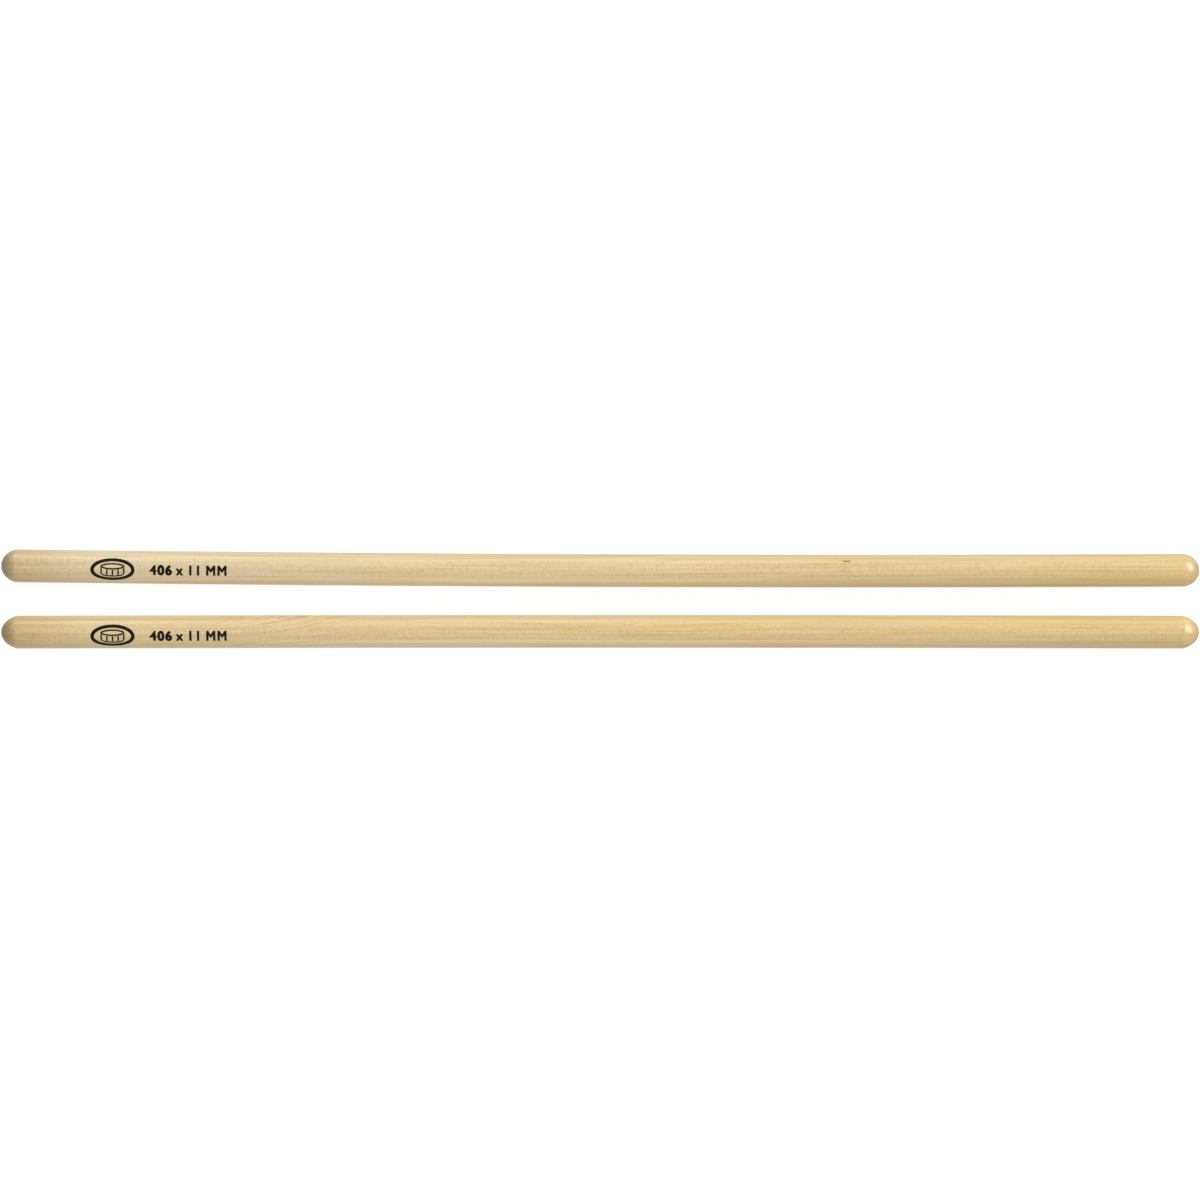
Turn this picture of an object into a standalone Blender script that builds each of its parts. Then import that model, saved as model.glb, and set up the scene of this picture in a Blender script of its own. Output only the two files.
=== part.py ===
"""A pair of timbale sticks: two hard maple dowels, turned round with no taper, each end domed.

The sticks lie side by side on a level surface. The origin is on that surface, under the middle of the
pair. +X runs along the sticks, from their printed butt ends to their far ends, +Y points to the rear
stick, and +Z is up. Sizes are in metres.
"""

import math
from collections import namedtuple

import bpy

INCH = 0.0254

# Each stick is one plain round dowel, the same thickness all along
STICK_LENGTH = 16 * INCH
STICK_DIAMETER = 7 / 16 * INCH

# A domed end: its length along the stick, the angle at which it breaks from the shank in a soft arris,
# and the radius of the small flat left at its tip. The domes are shaped by hand, so no two are alike.
Dome = namedtuple("Dome", "length arris_angle flat_radius")
REAR_BUTT_DOME = Dome(length=0.0048, arris_angle=math.radians(16), flat_radius=0.0009)
REAR_FAR_DOME = Dome(length=0.0052, arris_angle=math.radians(5), flat_radius=0.0016)
FRONT_BUTT_DOME = Dome(length=0.0053, arris_angle=math.radians(18), flat_radius=0.0008)
FRONT_FAR_DOME = Dome(length=0.0054, arris_angle=math.radians(16), flat_radius=0.0011)

# How the pair lies: the open gap between the shanks half-way along, how far the middle of each stick
# stands off the straight line through its ends (towards the other stick), and how far the rear stick
# is turned about the vertical, so that its far end lies nearer to the front stick
GAP_AT_MIDDLE = 0.0096
REAR_BOW = 0.0009
FRONT_BOW = 0.0003
REAR_TURN = math.radians(0.22)

# Divisions of the mesh. The sides are a multiple of four, so that an edge of each stick lies on the
# surface below and the outline is exactly one diameter wide
SIDES = 64
SHANK_SPANS = 12
DOME_SPANS = 7
MERGE_DISTANCE = 0.00001

# Lacquered maple, as (red, green, blue) in linear light
REAR_MAPLE = (0.730, 0.565, 0.330)
FRONT_MAPLE = (0.735, 0.545, 0.290)
LACQUER_ROUGHNESS = 0.38


def clear_scene():
    for thing in list(bpy.data.objects):
        bpy.data.objects.remove(thing)


def parts_collection(name):
    collection = bpy.data.collections.new(name)
    bpy.context.scene.collection.children.link(collection)
    return collection


def maple(name, color):
    """A satin lacquered wood in one colour."""
    material = bpy.data.materials.new(name)
    material.use_nodes = True
    surface = material.node_tree.nodes["Principled BSDF"]
    surface.inputs["Base Color"].default_value = (*color, 1)
    surface.inputs["Roughness"].default_value = LACQUER_ROUGHNESS
    surface.inputs["Metallic"].default_value = 0
    return material


def dome_profile(dome):
    """Points (radius, depth below the tip) from the rim of the tip's flat down to the arris.

    The dome is an arc of an ellipse a little wider than the stick, cut off where it meets the shank.
    """
    half_width = STICK_DIAMETER / 2 / math.cos(dome.arris_angle)
    rim_angle = math.acos(dome.flat_radius / half_width)
    half_length = dome.length / (math.sin(rim_angle) - math.sin(dome.arris_angle))
    points = []
    for step in range(DOME_SPANS + 1):
        angle = rim_angle + (dome.arris_angle - rim_angle) * step / DOME_SPANS
        depth = half_length * (math.sin(rim_angle) - math.sin(angle))
        points.append((half_width * math.cos(angle), depth))
    return points


def stick_profile(butt_dome, far_dome):
    """Half of the stick's outline as (radius, height), from the far tip down to the butt."""
    half = STICK_LENGTH / 2
    far = [(radius, half - depth) for radius, depth in dome_profile(far_dome)]
    butt = [(radius, depth - half) for radius, depth in reversed(dome_profile(butt_dome))]
    top = far[-1][1]
    bottom = butt[0][1]
    shank = []
    for span in range(1, SHANK_SPANS):
        shank.append((STICK_DIAMETER / 2, top + (bottom - top) * span / SHANK_SPANS))
    return [(0, half)] + far + shank + butt + [(0, -half)]


def turned_stick(name, butt_dome, far_dome):
    """A stick standing on local Z: its profile spun all the way round."""
    outline = [(radius, 0, height) for radius, height in stick_profile(butt_dome, far_dome)]
    edges = [(point, point + 1) for point in range(len(outline) - 1)]
    mesh = bpy.data.meshes.new(name)
    mesh.from_pydata(outline, edges, [])
    stick = bpy.data.objects.new(name, mesh)
    lathe = stick.modifiers.new("lathe", "SCREW")
    lathe.steps = SIDES
    lathe.render_steps = SIDES
    lathe.use_merge_vertices = True
    lathe.merge_threshold = MERGE_DISTANCE
    lathe.use_smooth_shade = True
    return stick


def bow(stick, middle_offset):
    """Bend a stick along its length: a positive offset moves its ends towards +Y off its middle."""
    bend = stick.modifiers.new("bow", "SIMPLE_DEFORM")
    bend.deform_method = "BEND"
    bend.deform_axis = "X"
    bend.angle = 8 * middle_offset / STICK_LENGTH


def lay_down(stick, y, turn):
    """Lay a stick along +X on the surface, its axis at y half-way along, turned about the vertical."""
    stick.rotation_euler = (0, math.pi / 2, turn)
    stick.location = (0, y, STICK_DIAMETER / 2)


def stick_places():
    """The y of both sticks' middles, which centres the outline of the pair on the origin."""
    spacing = STICK_DIAMETER + GAP_AT_MIDDLE
    rear_reach = REAR_BOW + STICK_LENGTH / 2 * math.sin(REAR_TURN)
    rear_y = (spacing - rear_reach + FRONT_BOW) / 2
    return rear_y, rear_y - spacing


def build():
    clear_scene()
    pair = parts_collection("timbale_sticks")
    rear_y, front_y = stick_places()

    rear = turned_stick("rear_stick", REAR_BUTT_DOME, REAR_FAR_DOME)
    rear.data.materials.append(maple("rear_maple", REAR_MAPLE))
    bow(rear, REAR_BOW)
    lay_down(rear, rear_y, -REAR_TURN)
    pair.objects.link(rear)

    front = turned_stick("front_stick", FRONT_BUTT_DOME, FRONT_FAR_DOME)
    front.data.materials.append(maple("front_maple", FRONT_MAPLE))
    bow(front, -FRONT_BOW)
    lay_down(front, front_y, 0)
    pair.objects.link(front)


build()
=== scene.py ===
"""The looks of a pair of maple timbale sticks that lie side by side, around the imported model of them.

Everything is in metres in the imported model's frame: +X runs from the printed butts to the far ends, +Y
points to the rear stick, and the sticks lie on z = 0.
"""

import math

import bmesh
import bpy
from mathutils import Matrix, Vector, noise


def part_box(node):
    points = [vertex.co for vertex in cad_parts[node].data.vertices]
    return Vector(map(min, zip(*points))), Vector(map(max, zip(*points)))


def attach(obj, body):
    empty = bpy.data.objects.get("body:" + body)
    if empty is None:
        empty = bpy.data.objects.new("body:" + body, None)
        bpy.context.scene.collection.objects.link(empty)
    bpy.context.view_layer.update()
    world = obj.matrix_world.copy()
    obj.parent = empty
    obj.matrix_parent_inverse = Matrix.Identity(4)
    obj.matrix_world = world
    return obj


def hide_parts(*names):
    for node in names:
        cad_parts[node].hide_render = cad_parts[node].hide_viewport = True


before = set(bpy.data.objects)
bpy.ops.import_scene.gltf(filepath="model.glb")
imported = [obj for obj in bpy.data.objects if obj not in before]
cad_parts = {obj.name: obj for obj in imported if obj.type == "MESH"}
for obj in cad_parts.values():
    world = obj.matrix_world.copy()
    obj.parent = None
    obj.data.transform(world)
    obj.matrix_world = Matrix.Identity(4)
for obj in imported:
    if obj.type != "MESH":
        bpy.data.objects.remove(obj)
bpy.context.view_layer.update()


# ---- Rear stick --------------------------------------------------------------------------------------
# One length of straight-grained hard maple, cut to a plain round rod in a dowel lathe. Its ends are
# rounded by hand on a sanding belt, which leaves a soft arris where each dome meets the shank and a
# small flat at each tip. The stick is then tumbled in clear satin lacquer.

STICK_SIDES = 128
SHANK_CUTS = 199
DOME_SPANS = 16
CORNER_SOFTNESS = 0.00035
CORNER_SPANS = 4
DOME_WAVER = 0.00007
WAVER_BLOBS_PER_METRE = 240
SHARP_ANGLE = math.radians(40)

# A dome's length, the angle at which it breaks from the shank, and the radius of the flat at its tip
REAR_BUTT_DOME = (0.0048, math.radians(16), 0.0009)
REAR_FAR_DOME = (0.0052, math.radians(5), 0.0016)
REAR_SANDED = 0.0045
REAR_BOW = 0.0009
REAR_TURN = math.radians(0.22)

rear_low, rear_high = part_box("rear_stick")
stick_radius = (rear_high.z - rear_low.z) / 2
stick_length = rear_high.x - rear_low.x


def dome_outline(length, arris_angle, flat_radius):
    """Points (depth below the tip, radius) of a domed end, from the rim of its flat to the arris.

    The curve is part of an ellipse a little wider than the stick, which the shank cuts off.
    """
    half_width = stick_radius / math.cos(arris_angle)
    rim = math.acos(flat_radius / half_width)
    half_length = length / (math.sin(rim) - math.sin(arris_angle))
    points = []
    for step in range(DOME_SPANS + 1):
        angle = rim + (arris_angle - rim) * step / DOME_SPANS
        points.append((half_length * (math.sin(rim) - math.sin(angle)), half_width * math.cos(angle)))
    return points


def turned_stick(butt_dome, far_dome):
    """A straight stick along X, about the origin: half of its outline, spun round its axis.

    Where each dome meets its flat and the shank, the corner is softened before the spin.
    """
    half = stick_length / 2
    butt = [(depth - half, radius) for depth, radius in dome_outline(*butt_dome)]
    far = [(half - depth, radius) for depth, radius in reversed(dome_outline(*far_dome))]

    stick = bmesh.new()
    points = [stick.verts.new((x, 0, radius)) for x, radius in [(-half, 0), *butt, *far, (half, 0)]]
    for pair in zip(points, points[1:]):
        stick.edges.new(pair)
    corners = [points[1], points[DOME_SPANS + 1], points[-DOME_SPANS - 2], points[-2]]
    bmesh.ops.bevel(
        stick, geom=corners, offset=CORNER_SOFTNESS, affect="VERTICES", segments=CORNER_SPANS,
        profile=0.5, material=-1,
    )
    shank = max(stick.edges, key=lambda edge: edge.calc_length())
    bmesh.ops.subdivide_edges(stick, edges=[shank], cuts=SHANK_CUTS)
    bmesh.ops.spin(
        stick, geom=stick.verts[:] + stick.edges[:], cent=(0, 0, 0), axis=(1, 0, 0), angle=math.tau,
        steps=STICK_SIDES, use_merge=True,
    )
    bmesh.ops.remove_doubles(stick, verts=stick.verts, dist=1e-6)
    bmesh.ops.recalc_face_normals(stick, faces=stick.faces)
    return stick


def shape_by_hand(stick, seed, reach):
    """Give both domes the slight waver of hand sanding, none of it further than reach from a tip."""
    for point in stick.verts:
        from_tip = stick_length / 2 - abs(point.co.x)
        share = max(0.0, 1 - from_tip / reach)
        sway = noise.noise(point.co * WAVER_BLOBS_PER_METRE + Vector((seed, seed, seed)))
        out = Vector((0, point.co.y, point.co.z)) / stick_radius
        point.co += out * sway * share * DOME_WAVER


def bend_and_place(shape, bow, turn, y):
    """Bow a shape round the stick's middle (ends towards +Y), turn it and lay it down."""
    bend_radius = stick_length ** 2 / (8 * bow)
    for point in shape.verts:
        angle = point.co.x / bend_radius
        reach = bend_radius - point.co.y
        point.co.x = reach * math.sin(angle)
        point.co.y = bend_radius - reach * math.cos(angle)
    bmesh.ops.rotate(shape, verts=shape.verts, cent=(0, 0, 0), matrix=Matrix.Rotation(turn, 3, "Z"))
    bmesh.ops.translate(shape, verts=shape.verts, vec=(0, y, stick_radius))


def finished_piece(name, shape, material):
    """Turn a bmesh into an object of the scene, shaded smooth but for its sharp edges."""
    mesh = bpy.data.meshes.new(name)
    shape.to_mesh(mesh)
    shape.free()
    mesh.shade_smooth()
    mesh.set_sharp_from_angle(angle=SHARP_ANGLE)
    mesh.materials.append(material)
    piece = bpy.data.objects.new(name, mesh)
    bpy.context.scene.collection.objects.link(piece)
    return piece


class Signal:
    """One output of a node in a material. Arithmetic between signals adds Math nodes."""

    def __init__(self, socket):
        self.socket = socket

    def node(self, kind, settings, sockets, out=0):
        """Add a node of this kind, set it up, fill or link its sockets, and return one output."""
        tree = self.socket.id_data
        made = tree.nodes.new("ShaderNode" + kind)
        for name, value in settings.items():
            if name == "stops":
                fill_ramp(made.color_ramp, value)
            else:
                setattr(made, name, value)
        for name, value in sockets.items():
            if isinstance(value, Signal):
                tree.links.new(value.socket, made.inputs[name])
            else:
                made.inputs[name].default_value = value
        return Signal(made.outputs[out])

    def math(self, operation, *others):
        values = {0: self}
        for place, other in enumerate(others, 1):
            values[place] = other
        return self.node("Math", {"operation": operation}, values)

    def __add__(self, other):
        return self.math("ADD", other)

    def __mul__(self, other):
        return self.math("MULTIPLY", other)

    def __sub__(self, other):
        return self.math("SUBTRACT", other)

    def __rsub__(self, other):
        return (self * -1) + other

    def __truediv__(self, other):
        return self.math("DIVIDE", other)

    def __pow__(self, other):
        return self.math("POWER", other)

    __radd__ = __add__
    __rmul__ = __mul__

    def between(self, low, high):
        """0 below low, 1 above high, and a smooth rise in between."""
        sockets = {"Value": self, "From Min": low, "From Max": high}
        return self.node("MapRange", {"interpolation_type": "SMOOTHSTEP"}, sockets)

    def tint(self, first, second):
        """A colour that goes from the first to the second as this signal goes from 0 to 1."""
        return self.node("Mix", {"data_type": "RGBA"}, {0: self, 6: first, 7: second}, out=2)

    def shade(self, color, strength_color):
        """A colour multiplied by another, as far as this signal says."""
        settings = {"data_type": "RGBA", "blend_type": "MULTIPLY"}
        return self.node("Mix", settings, {0: self, 6: color, 7: strength_color}, out=2)

    def vector(self, operation, *others):
        values = {0: self}
        for place, other in enumerate(others, 1):
            values[place] = other
        return self.node("VectorMath", {"operation": operation}, values)

    def axis(self, number):
        return self.node("SeparateXYZ", {}, {0: self}, out=number)

    def cloud(self, scale, detail=2.0):
        """Soft noise on this vector, about 0.5 on average; scale is its blobs per metre, each way."""
        sockets = {
            "Vector": self.vector("MULTIPLY", scale), "Scale": 1.0, "Detail": detail, "Roughness": 0.55,
        }
        return self.node("TexNoise", {}, sockets)


def fill_ramp(ramp, stops):
    """Set a ramp's grey levels: a list of (position, level)."""
    while len(ramp.elements) < len(stops):
        ramp.elements.new(0.5)
    for element, (position, level) in zip(ramp.elements, stops):
        element.position = position
        element.color = (level, level, level, 1)


def blank_material(name):
    """A new material: its Principled shader, and a signal holding Object coordinates."""
    material = bpy.data.materials.new(name)
    material.use_nodes = True
    tree = material.node_tree
    surface = tree.nodes["Principled BSDF"]
    place = Signal(tree.nodes.new("ShaderNodeTexCoord").outputs["Object"])
    return material, surface, place


def feed(surface, socket, signal):
    signal.socket.id_data.links.new(signal.socket, surface.inputs[socket])


# The wood's colour goes from pale to warm, multiplied by the shades under them; the last four carry
# painted shade
PALE_MAPLE = (0.825, 0.700, 0.465, 1)
WARM_MAPLE = (0.78, 0.572, 0.250, 1)
LATE_WOOD = (0.80, 0.74, 0.62, 1)
FIBRE_SHADE = (0.87, 0.84, 0.78, 1)
RAY_SHADE = (0.86, 0.82, 0.72, 1)
PORE_SHADE = (0.70, 0.62, 0.54, 1)
STRAY_LINE = (0.86, 0.72, 0.58, 1)
MINERAL_CORE = (0.16, 0.12, 0.08, 1)
MINERAL_HALO = (0.97, 0.86, 0.68, 1)
# Painted shade: the wood darker and browner towards the butt
BUTT_PAINTED_SHADE = (0.86, 0.78, 0.62, 1)
# The butt dome darker still: partly its end grain, partly painted shade
BUTT_DOME_GRAIN_AND_SHADE = (0.70, 0.66, 0.52, 1)
# Both domes darker towards their tips and darkest at the rims: end grain, with painted shade on the rims
DOME_GRAIN_AND_SHADE = (0.70, 0.69, 0.70, 1)
TIP_GRAIN_AND_RIM_SHADE = (0.80, 0.80, 0.80, 1)

# How far each of them shows, from 0 to 1, and how far the warmth wanders and falls off towards the bark
LATE_WOOD_SHOWS = 0.30
STREAK_SHOWS = 0.95
FIBRE_SHOWS = 0.4
RAY_SHOWS = 0.50
PORE_SHOWS = 0.7
WARMTH_WANDERS = 0.8
SAPWOOD = 0.04

# Blobs per metre along the stick, across it and up
DRIFT_BLOBS = (7, 20, 20)
BROAD_BLOBS = (10, 320, 320)
STREAK_BLOBS = (22, 1300, 1300)
FIBRE_BLOBS = (60, 5200, 5200)
PORE_BLOBS = (420, 9500, 9500)
STRAY_BLOBS = (5, 2600, 2600)

# Ray cells per metre along the stick, round the pith and out from it
RAYS_ALONG = 1300
RAYS_ROUND = 1600
RAYS_OUT = 420

# One year's growth, from its early wood to its dark late wood: (share of the year, level)
RING_WIDTH = 0.0014
RING_UNEVENNESS = 1.6
RING_DRIFT = 0.35
YEAR_RAMP = [(0.0, 0.45), (0.08, 0.0), (0.45, 0.10), (0.82, 0.60), (0.94, 1.0), (1.0, 0.45)]

# How far the painted shade reaches from the butt, and the domes' end grain and painted shade from each
# tip
BUTT_SHADE_LENGTH = 0.036
DOME_GRAIN_AND_SHADE_DEPTH = 0.0055
TIP_RIM_SHADE_DEPTH = 0.0014
MINERAL_HALO_SIZE = (0.0060, 0.0010)
MINERAL_CORE_SIZE = (0.0035, 0.00046)

GRAIN_RELIEF = 0.00003
LACQUER = 0.9
LACQUER_ROUGHNESS = 0.32

REAR_PITH = (-0.085, 0.022)
REAR_MINERAL = (0.0835, 0.0031)


def lens(wood, at, size):
    """1 in the middle of a long spot seen from above, 0 outside it. at and size are (x, y)."""
    across = (wood.axis(0) - at[0]) / size[0] * 2
    down = (wood.axis(1) - at[1]) / size[1] * 2
    return 1 - (across * across + down * down).between(0.2, 1.0)


def maple(name, centre, pith, lean, wander, tone, run_out=None, mineral=None):
    """Lacquered hard maple cut out of a tree whose pith lies at pith (y, z) from the stick's axis.

    centre is the stick's own y. lean is how far the pith drifts sideways per metre of stick, wander
    how far the fibres stray, and tone (at the butt, at the far end) how warm the wood is, from 0 to 1.
    run_out (x from, x to, rise) is where the fibres cross the stick at a slant, and mineral (x, y) a
    dark fleck.
    """
    material, surface, place = blank_material(name)
    wood = place.node("Mapping", {}, {"Vector": place, "Location": (0, -centre, -stick_radius)})
    slow = wood.vector("MULTIPLY", DRIFT_BLOBS)
    drift = slow.node("TexNoise", {}, {"Vector": slow, "Scale": 1.0, "Detail": 1.0}, out=1)
    strayed = drift.vector("SUBTRACT", (0.5, 0.5, 0.5)).vector("MULTIPLY_ADD", (0, wander, wander), wood)
    if run_out:
        crossed = strayed.axis(0).between(run_out[0], run_out[1])
        shift = crossed.node("CombineXYZ", {}, {1: crossed * run_out[2]})
        strayed = strayed.vector("SUBTRACT", shift)

    along = strayed.axis(0)
    across = strayed.axis(1) - along * lean - pith[0]
    height = strayed.axis(2) - pith[1]
    from_pith = (across * across + height * height) ** 0.5
    round_pith = height.math("ARCTAN2", across) * math.hypot(*pith)

    years = from_pith / RING_WIDTH
    uneven = years.node("TexNoise", {"noise_dimensions": "1D"}, {"W": years * RING_DRIFT, "Scale": 1.0})
    year = (years + uneven * RING_UNEVENNESS).math("FRACT")
    late = year.node("ValToRGB", {"stops": YEAR_RAMP}, {"Fac": year})

    broad = strayed.cloud(BROAD_BLOBS)
    streak = strayed.cloud(STREAK_BLOBS, detail=3.0)
    fibre = strayed.cloud(FIBRE_BLOBS)
    cells = {0: along * RAYS_ALONG, 1: round_pith * RAYS_ROUND, 2: from_pith * RAYS_OUT}
    rays = along.node("CombineXYZ", {}, cells)
    ray = rays.node("TexNoise", {}, {"Vector": rays, "Scale": 1.0, "Detail": 1.0}).between(0.46, 0.66)
    quarter = wood.axis(2).math("ABSOLUTE").between(0.66 * stick_radius, 0.94 * stick_radius)
    pore = strayed.cloud(PORE_BLOBS, detail=0.0).between(0.70, 0.80)

    warmth = along * ((tone[1] - tone[0]) / stick_length) + (tone[0] + tone[1]) / 2
    sap = (from_pith - math.hypot(*pith)) / stick_radius
    warmth = warmth + (broad - 0.5) * WARMTH_WANDERS - sap * SAPWOOD
    color = warmth.between(0.0, 1.0).tint(PALE_MAPLE, WARM_MAPLE)
    color = (late * LATE_WOOD_SHOWS).shade(color, LATE_WOOD)
    color = (streak.between(0.38, 0.70) * STREAK_SHOWS).shade(color, FIBRE_SHADE)
    color = (fibre.between(0.45, 0.75) * FIBRE_SHOWS).shade(color, FIBRE_SHADE)
    color = (ray * quarter * RAY_SHOWS).shade(color, RAY_SHADE)
    color = (pore * PORE_SHOWS).shade(color, PORE_SHADE)
    if run_out:
        middle = crossed * (1 - crossed) * 4
        upper = wood.axis(1).between(-0.0010, 0.0015)
        stray = strayed.cloud(STRAY_BLOBS, detail=0.0).between(0.55, 0.66) * middle * upper
        color = stray.shade(color, STRAY_LINE)
    if mineral:
        color = lens(wood, mineral, MINERAL_HALO_SIZE).shade(color, MINERAL_HALO)
        color = lens(wood, mineral, MINERAL_CORE_SIZE).shade(color, MINERAL_CORE)
    from_butt = along + stick_length / 2
    # Painted shade: the wood goes darker and browner over its last few centimetres towards the butt
    color = (1 - from_butt.between(0, BUTT_SHADE_LENGTH)).shade(color, BUTT_PAINTED_SHADE)
    # The butt dome darker still, partly its end grain and partly painted shade on the side away from the
    # light
    color = (1 - from_butt.between(0, DOME_GRAIN_AND_SHADE_DEPTH)).shade(color, BUTT_DOME_GRAIN_AND_SHADE)
    # Both domes darken towards their tips and most at the very rim: partly end grain soaking up lacquer,
    # partly painted shade
    from_middle = wood.axis(0).math("ABSOLUTE")
    end = from_middle.between(stick_length / 2 - DOME_GRAIN_AND_SHADE_DEPTH, stick_length / 2)
    tip = from_middle.between(stick_length / 2 - TIP_RIM_SHADE_DEPTH, stick_length / 2)
    color = end.shade(color, DOME_GRAIN_AND_SHADE)
    color = tip.shade(color, TIP_GRAIN_AND_RIM_SHADE)
    feed(surface, "Base Color", color)
    feed(surface, "Roughness", 0.40 + streak * 0.08 + end * 0.10)

    relief = streak * 0.5 + fibre * 0.5 - late * 0.3 - pore
    bump = relief.node("Bump", {}, {"Strength": 0.3, "Distance": GRAIN_RELIEF, "Height": relief})
    feed(surface, "Normal", bump)
    surface.inputs["Coat Weight"].default_value = LACQUER
    surface.inputs["Coat Roughness"].default_value = LACQUER_ROUGHNESS
    return material


rear_y = rear_high.y - stick_radius - REAR_BOW - stick_length / 2 * math.sin(REAR_TURN)
rear_shape = turned_stick(REAR_BUTT_DOME, REAR_FAR_DOME)
shape_by_hand(rear_shape, seed=3.0, reach=REAR_SANDED)
bend_and_place(rear_shape, REAR_BOW, -REAR_TURN, rear_y)
rear_maple = maple(
    "rear_maple", rear_y, REAR_PITH, lean=0.006, wander=0.0016, tone=(0.25, 0.90),
    mineral=REAR_MINERAL,
)
rear_stick = finished_piece("rear_stick_turned", rear_shape, rear_maple)
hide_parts("rear_stick")
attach(rear_stick, "rear_stick")


# ---- Front stick -------------------------------------------------------------------------------------
# The rear stick's mate, turned the same way from another maple blank: a little warmer in colour, with
# fibres that run out at a slant near the print, and more pointed domes. It bows the other way, and less.

FRONT_BUTT_DOME = (0.0053, math.radians(18), 0.0008)
FRONT_FAR_DOME = (0.0054, math.radians(16), 0.0011)
FRONT_SANDED = 0.0050
FRONT_BOW = 0.0003
FRONT_PITH = (0.078, 0.030)
FRONT_RUN_OUT = (-0.132, -0.078, 0.0060)

front_low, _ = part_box("front_stick")
front_y = front_low.y + stick_radius + FRONT_BOW
front_shape = turned_stick(FRONT_BUTT_DOME, FRONT_FAR_DOME)
shape_by_hand(front_shape, seed=11.0, reach=FRONT_SANDED)
bend_and_place(front_shape, -FRONT_BOW, 0, front_y)
front_maple = maple(
    "front_maple", front_y, FRONT_PITH, lean=-0.010, wander=0.0030, tone=(0.50, 0.95),
    run_out=FRONT_RUN_OUT,
)
front_stick = finished_piece("front_stick_turned", front_shape, front_maple)
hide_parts("front_stick")
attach(front_stick, "front_stick")


# ---- Prints ------------------------------------------------------------------------------------------
# A plain emblem and the stick's size in millimetres, pad-printed near each butt in one film of matt
# black ink over the lacquer. The film takes a little unevenly over the grain.

INK_PROUD = 0.000012
INK_BELOW = 0.00003
INK_STRIP = 0.00025
REAR_PRINT_ROLL = math.radians(-10.6)
FRONT_PRINT_ROLL = math.radians(-15.0)

EMBLEM_X = -0.1650
EMBLEM_SIZE = (0.0150, 0.0082)
EMBLEM_LINE = 0.0012
OVAL_SIDES = 96
DRUM_WIDTH = 0.0082
DRUM_HEAD_DEPTH = 0.0023
DRUM_HEAD_Y = 0.00120
DRUM_LINE = 0.00055
DRUM_GAP = 0.00012
DRUM_RODS = 5
DRUM_ROD_HEIGHT = 0.0018
BAR_SPANS = 8

SIZE_TEXT = "406 x 11 MM"
SIZE_TEXT_X = -0.1394
SIZE_TEXT_WIDTH = 0.0257
SIZE_TEXT_HEIGHT = 0.0032
SIZE_TEXT_BOLDER = 0.00028
LETTER_SPACING = 1.20
WORD_SPACING = 0.55

INK_BLACK = (0.006, 0.0055, 0.0055, 1)
INK_THIN = (0.060, 0.046, 0.032, 1)
INK_GLOSS = 0.12
INK_BLOBS = (160, 4200, 4200)


def add_oval(film, size, line, y):
    """An oval line of this outer size, drawn round (0, y)."""
    oval = bmesh.ops.create_circle(film, cap_ends=True, radius=0.5, segments=OVAL_SIDES)["verts"]
    bmesh.ops.scale(film, verts=oval, vec=(*size, 1))
    bmesh.ops.translate(film, verts=oval, vec=(0, y, 0))
    disc = oval[0].link_faces[0]
    bmesh.ops.inset_region(
        film, faces=[disc], thickness=line, use_boundary=True, use_even_offset=True
    )
    bmesh.ops.delete(film, geom=[disc], context="FACES_ONLY")


def add_bar(film, x, width, top, height):
    """An upright or level bar of the drum, whose ends follow the round of its head."""
    bar = bmesh.ops.create_grid(film, x_segments=BAR_SPANS, y_segments=1, size=0.5)["verts"]
    bmesh.ops.scale(film, verts=bar, vec=(width, height, 1))
    bmesh.ops.translate(film, verts=bar, vec=(x, top - height / 2, 0))
    for point in bar:
        share = min(1.0, abs(point.co.x) * 2 / DRUM_WIDTH)
        point.co.y -= DRUM_HEAD_DEPTH / 2 * math.sqrt(1 - share ** 2)


def add_emblem(film):
    """An oval badge with a small drum in it: the head, five tension rods and the bottom hoop."""
    before = set(film.verts)
    add_oval(film, EMBLEM_SIZE, EMBLEM_LINE, 0)
    add_oval(film, (DRUM_WIDTH, DRUM_HEAD_DEPTH), DRUM_LINE, DRUM_HEAD_Y)
    top = DRUM_HEAD_Y - DRUM_GAP
    for number in range(DRUM_RODS):
        middle = (number / (DRUM_RODS - 1) - 0.5) * (DRUM_WIDTH - DRUM_LINE)
        add_bar(film, middle, DRUM_LINE, top, DRUM_ROD_HEIGHT)
    add_bar(film, 0, DRUM_WIDTH, top - DRUM_ROD_HEIGHT - DRUM_GAP, DRUM_LINE)
    emblem = [point for point in film.verts if point not in before]
    bmesh.ops.translate(film, verts=emblem, vec=(EMBLEM_X, 0, 0))


def make_bolder(outline, weight):
    """Move the outline of flat shapes outwards by this much."""
    moves = []
    for point in outline:
        out = Vector()
        for edge in point.link_edges:
            if edge.is_boundary:
                side = edge.link_loops[0]
                along = side.link_loop_next.vert.co - side.vert.co
                out += along.normalized().cross(side.face.normal)
        moves.append(out.normalized() * weight)
    for point, move in zip(outline, moves):
        point.co += move


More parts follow.
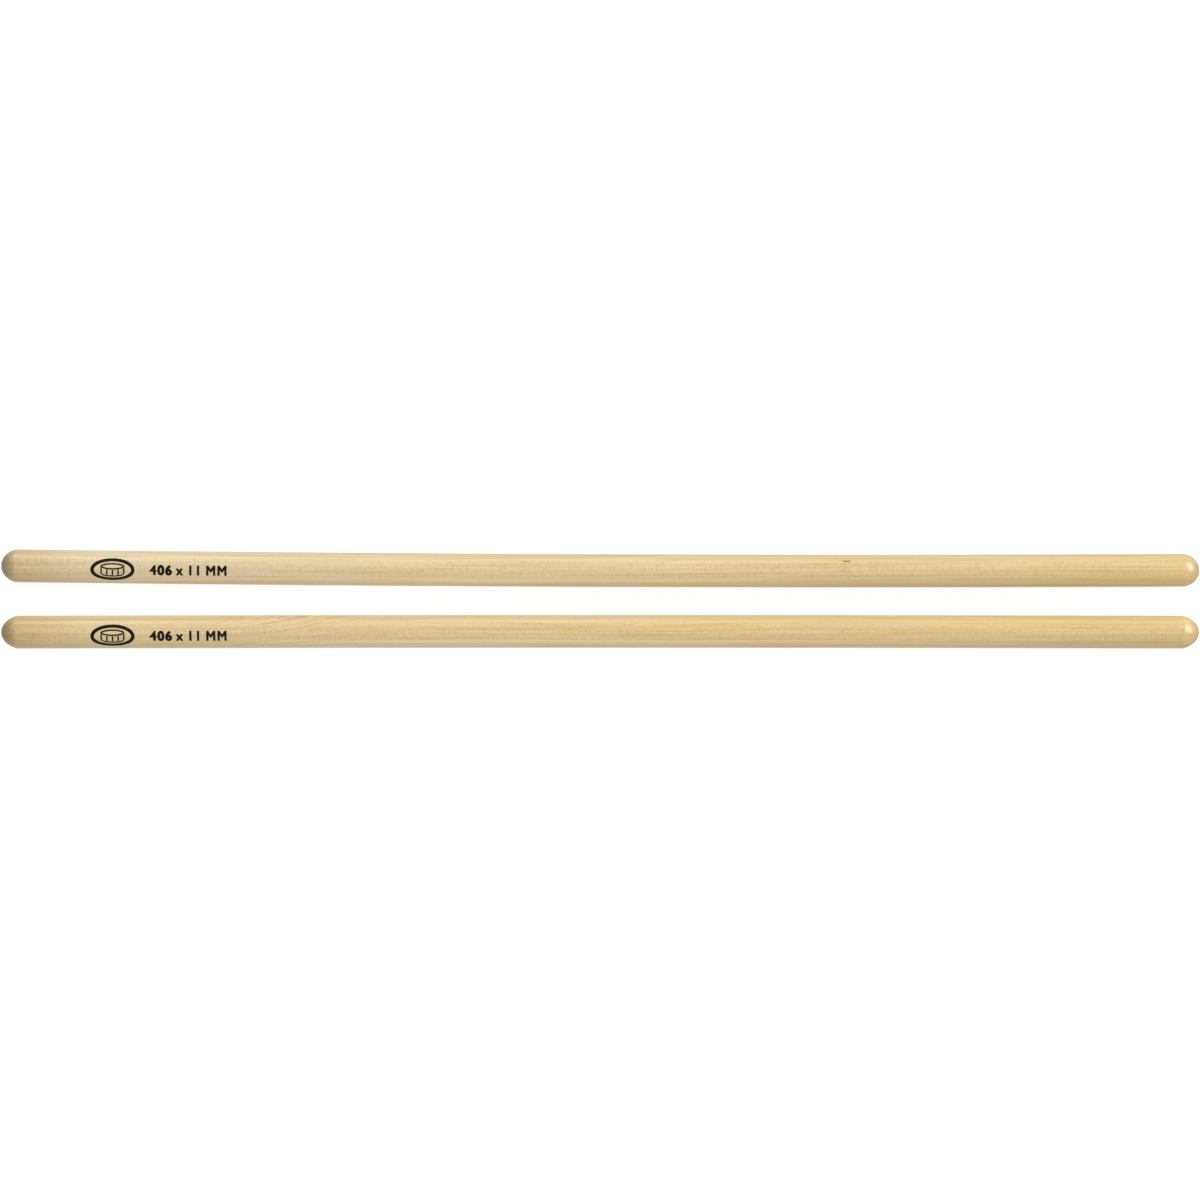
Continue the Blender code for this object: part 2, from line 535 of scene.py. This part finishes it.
def add_size_text(film):
    """The stick's size in bold letters, as wide and as high as the values above say."""
    letters = bpy.data.curves.new("size_text", "FONT")
    letters.body = SIZE_TEXT
    letters.space_character = LETTER_SPACING
    letters.space_word = WORD_SPACING
    writing = bpy.data.objects.new("size_text", letters)
    bpy.context.scene.collection.objects.link(writing)
    drawn = writing.evaluated_get(bpy.context.evaluated_depsgraph_get())
    mesh = bpy.data.meshes.new_from_object(drawn)
    film.from_mesh(mesh)
    bpy.data.objects.remove(writing)
    bpy.data.meshes.remove(mesh)
    bmesh.ops.remove_doubles(film, verts=film.verts, dist=1e-4)

    text = film.verts[:]
    left = min(point.co.x for point in text)
    right = max(point.co.x for point in text)
    bottom = min(point.co.y for point in text)
    top = max(point.co.y for point in text)
    bmesh.ops.translate(film, verts=text, vec=(-(left + right) / 2, -(bottom + top) / 2, 0))
    bmesh.ops.scale(
        film, verts=text, vec=(SIZE_TEXT_WIDTH / (right - left), SIZE_TEXT_HEIGHT / (top - bottom), 1)
    )
    film.normal_update()
    make_bolder(text, SIZE_TEXT_BOLDER)
    bmesh.ops.translate(film, verts=text, vec=(SIZE_TEXT_X, 0, 0))


def print_film(roll):
    """The whole print as one thin film, wrapped round a straight stick at this angle from its top.

    The film is cut into strips first, because only its corners can follow the round of the stick.
    """
    film = bmesh.new()
    add_size_text(film)
    add_emblem(film)
    strips = math.ceil(EMBLEM_SIZE[1] / INK_STRIP)
    for cut in range(1, strips):
        y = (cut / strips - 0.5) * EMBLEM_SIZE[1]
        everything = film.verts[:] + film.edges[:] + film.faces[:]
        bmesh.ops.bisect_plane(film, geom=everything, dist=1e-7, plane_co=(0, y, 0), plane_no=(0, 1, 0))
    film.normal_update()
    upside_down = [face for face in film.faces if face.normal.z < 0]
    bmesh.ops.reverse_faces(film, faces=upside_down)
    bmesh.ops.solidify(film, geom=film.faces[:], thickness=INK_PROUD + INK_BELOW)
    bmesh.ops.recalc_face_normals(film, faces=film.faces)
    bottom = min(point.co.z for point in film.verts)
    for point in film.verts:
        out = stick_radius - INK_BELOW + point.co.z - bottom
        angle = roll + point.co.y / stick_radius
        point.co = Vector((point.co.x, out * math.sin(angle), out * math.cos(angle)))
    return film


def print_ink():
    """Matt black ink, thinner and browner where it bridges the grain."""
    material, surface, place = blank_material("print_ink")
    thin = place.cloud(INK_BLOBS, detail=3.0).between(0.52, 0.80)
    feed(surface, "Base Color", thin.tint(INK_BLACK, INK_THIN))
    feed(surface, "Roughness", 0.50 + thin * 0.14)
    surface.inputs["Specular IOR Level"].default_value = INK_GLOSS
    return material


ink = print_ink()
rear_film = print_film(REAR_PRINT_ROLL)
bend_and_place(rear_film, REAR_BOW, -REAR_TURN, rear_y)
rear_print = finished_piece("rear_print", rear_film, ink)
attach(rear_print, "rear_stick")

front_film = print_film(FRONT_PRINT_ROLL)
bend_and_place(front_film, -FRONT_BOW, 0, front_y)
front_print = finished_piece("front_print", front_film, ink)
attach(front_print, "front_stick")


# ---- Studio ------------------------------------------------------------------------------------------
# A plain table that glows white and throws nothing back on the sticks, under an even white sky. One big
# softbox stands beyond the sticks' far ends, a weak strip low behind them and a small fill close in
# front, and the camera looks straight down.

TABLE_SIZE = 8
TABLE_GREY = (0.25, 0.25, 0.25, 1)
TABLE_ROUGHNESS = 0.9
TABLE_GLOW = 0.86
WHITE = (1, 1, 1, 1)
SKY = 0.57

table_shape = bmesh.new()
bmesh.ops.create_grid(table_shape, x_segments=1, y_segments=1, size=TABLE_SIZE / 2)
table_material, table_surface, _ = blank_material("white_table")
table_surface.inputs["Base Color"].default_value = TABLE_GREY
table_surface.inputs["Roughness"].default_value = TABLE_ROUGHNESS
table_surface.inputs["Specular IOR Level"].default_value = 0.0
table_surface.inputs["Emission Color"].default_value = WHITE
table_surface.inputs["Emission Strength"].default_value = TABLE_GLOW
table = finished_piece("table", table_shape, table_material)
table.visible_diffuse = False
table.visible_glossy = False


def softbox(name, place, target, width, height, brightness):
    """A rectangular area light at place that faces target; white paper in the sun is about 1 bright."""
    lamp = bpy.data.lights.new(name, "AREA")
    lamp.shape = "RECTANGLE"
    lamp.size = width
    lamp.size_y = height
    lamp.energy = brightness * math.pi * width * height
    holder = bpy.data.objects.new(name, lamp)
    holder.location = place
    holder.rotation_euler = (Vector(target) - Vector(place)).to_track_quat("-Z", "Y").to_euler()
    holder.visible_camera = False
    bpy.context.scene.collection.objects.link(holder)


softbox("key_softbox", (1.93, 0.90, 1.28), (0, 0, 0), 2.0, 1.0, brightness=7.2)
softbox("strip_softbox", (-0.5, 1.2, 0.5), (0, 0, 0), 1.4, 0.30, brightness=2.8)
softbox("fill_softbox", (-0.02, -0.25, 0.085), (-0.02, 0, 0), 0.22, 0.08, brightness=2.2)

world = bpy.data.worlds.new("studio")
bpy.context.scene.world = world
world.use_nodes = True
sky = world.node_tree.nodes["Background"]
sky.inputs["Color"].default_value = WHITE
sky.inputs["Strength"].default_value = SKY

LENS = 150
SENSOR_WIDTH = 36
FRAME_OVER_STICK = 1.0024225
CAMERA_Y = -0.0004
lens_distance = stick_length * FRAME_OVER_STICK * LENS / SENSOR_WIDTH
camera_data = bpy.data.cameras.new("camera")
camera_data.lens = LENS
camera_data.sensor_width = SENSOR_WIDTH
camera = bpy.data.objects.new("camera", camera_data)
camera.location = (0, CAMERA_Y, stick_radius + lens_distance)
bpy.context.scene.collection.objects.link(camera)
bpy.context.scene.camera = camera
bpy.context.scene.view_settings.view_transform = "Standard"
